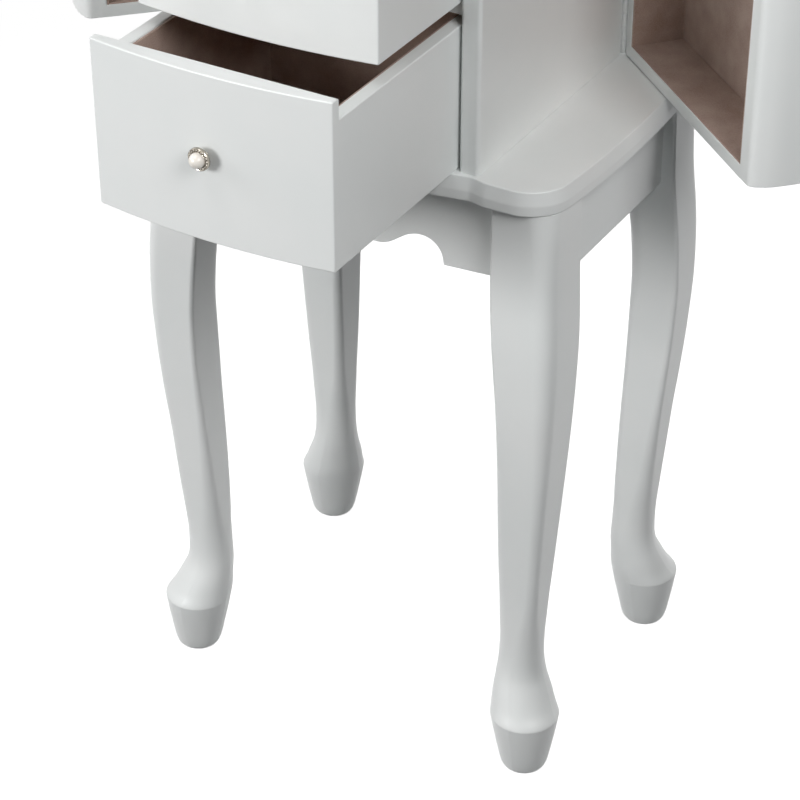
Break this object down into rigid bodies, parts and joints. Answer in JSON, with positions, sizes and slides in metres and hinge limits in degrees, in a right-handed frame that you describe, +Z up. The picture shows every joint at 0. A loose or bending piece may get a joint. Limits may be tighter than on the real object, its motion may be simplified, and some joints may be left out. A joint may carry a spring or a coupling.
{
  "type": "jewelry mirror cabinet",
  "caption": "Jewelry cabinet on cabriole legs with bowed drawers, deep hinged side doors for necklaces and a lift-up lid with a mirror beneath.",
  "frame": {"origin": "middle of the bounding box on the floor, with the drawers, doors and lid open as stored", "axes": "+Z up, -Y towards the front where the drawers open, +X to the right seen from the front"},
  "size_m": [0.732, 0.5512, 1.2786],
  "materials": {
    "white_lacquer": "satin white lacquer",
    "plain_board": "raw board in the dark inside",
    "flocked_board": "board covered with taupe felt",
    "felt": "taupe felt over foam",
    "hinge_metal": "white painted steel",
    "silver": "bright silver plate",
    "pearl": "cream pearl",
    "mirror_glass": "silvered glass"
  },
  "bodies": {
    "cabinet": {"back_panel": "white_lacquer", "base_board": "white_lacquer", "case_lid_hinge_leaf": "hinge_metal", "compartment_divider": "flocked_board", "compartment_floor": "flocked_board", "front_apron": "white_lacquer", "front_left_leg": "white_lacquer", "front_rail": "white_lacquer", "front_right_leg": "white_lacquer", "left_apron": "white_lacquer", "left_case_hinge_leaf": "hinge_metal", "left_side_panel": "white_lacquer", "middle_drawer_shelf": "plain_board", "rear_apron": "white_lacquer", "rear_left_leg": "white_lacquer", "rear_right_leg": "white_lacquer", "right_apron": "white_lacquer", "right_case_hinge_leaf": "hinge_metal", "right_side_panel": "white_lacquer", "ring_cushion": "felt", "upper_drawer_shelf": "plain_board"},
    "lower_drawer": {"lower_drawer_back": "white_lacquer", "lower_drawer_bottom": "flocked_board", "lower_drawer_front": "white_lacquer", "lower_drawer_left_side": "white_lacquer", "lower_drawer_right_side": "white_lacquer", "lower_knob_pearl": "pearl", "lower_knob_setting": "silver"},
    "middle_drawer": {"middle_drawer_back": "white_lacquer", "middle_drawer_bottom": "flocked_board", "middle_drawer_front": "white_lacquer", "middle_drawer_left_side": "white_lacquer", "middle_drawer_right_side": "white_lacquer", "middle_knob_pearl": "pearl", "middle_knob_setting": "silver"},
    "upper_drawer": {"upper_drawer_back": "white_lacquer", "upper_drawer_bottom": "flocked_board", "upper_drawer_front": "white_lacquer", "upper_drawer_left_side": "white_lacquer", "upper_drawer_right_side": "white_lacquer", "upper_knob_pearl": "pearl", "upper_knob_setting": "silver"},
    "right_door": {"right_door_floor_board": "white_lacquer", "right_door_front_wall": "white_lacquer", "right_door_hinge_leaf": "hinge_metal", "right_door_outer_panel": "white_lacquer", "right_door_peg_rail": "white_lacquer", "right_door_rear_wall": "white_lacquer", "right_door_top_board": "white_lacquer"},
    "left_door": {"left_door_floor_board": "white_lacquer", "left_door_front_wall": "white_lacquer", "left_door_hinge_leaf": "hinge_metal", "left_door_outer_panel": "white_lacquer", "left_door_peg_rail": "white_lacquer", "left_door_rear_wall": "white_lacquer", "left_door_top_board": "white_lacquer"},
    "lid": {"lid_hinge_leaf": "hinge_metal", "lid_panel": "white_lacquer", "mirror": "mirror_glass", "mirror_frame": "white_lacquer"}
  },
  "joints": [
    {"name": "lower_drawer_slide", "type": "slide", "parent": "cabinet", "child": "lower_drawer", "axis": [0, -1, 0], "range_m": [-0.1901, 0.0099]},
    {"name": "middle_drawer_slide", "type": "slide", "parent": "cabinet", "child": "middle_drawer", "axis": [0, -1, 0], "range_m": [-0.1234, 0.0766]},
    {"name": "upper_drawer_slide", "type": "slide", "parent": "cabinet", "child": "upper_drawer", "axis": [0, -1, 0], "range_m": [-0.057, 0.143]},
    {"name": "right_door_hinge", "type": "hinge", "parent": "cabinet", "child": "right_door", "pos_m": [0.12847, 0.20571, 0.6192], "axis": [0, 0, 1], "range_deg": [-48.65, 71.35]},
    {"name": "left_door_hinge", "type": "hinge", "parent": "cabinet", "child": "left_door", "pos_m": [-0.13713, 0.20571, 0.6192], "axis": [0, 0, -1], "range_deg": [-45, 75]},
    {"name": "lid_hinge", "type": "hinge", "parent": "cabinet", "child": "lid", "pos_m": [-0.00433, 0.20571, 1.00015], "axis": [-1, 0, 0], "range_deg": [-100, 0]}
  ]
}
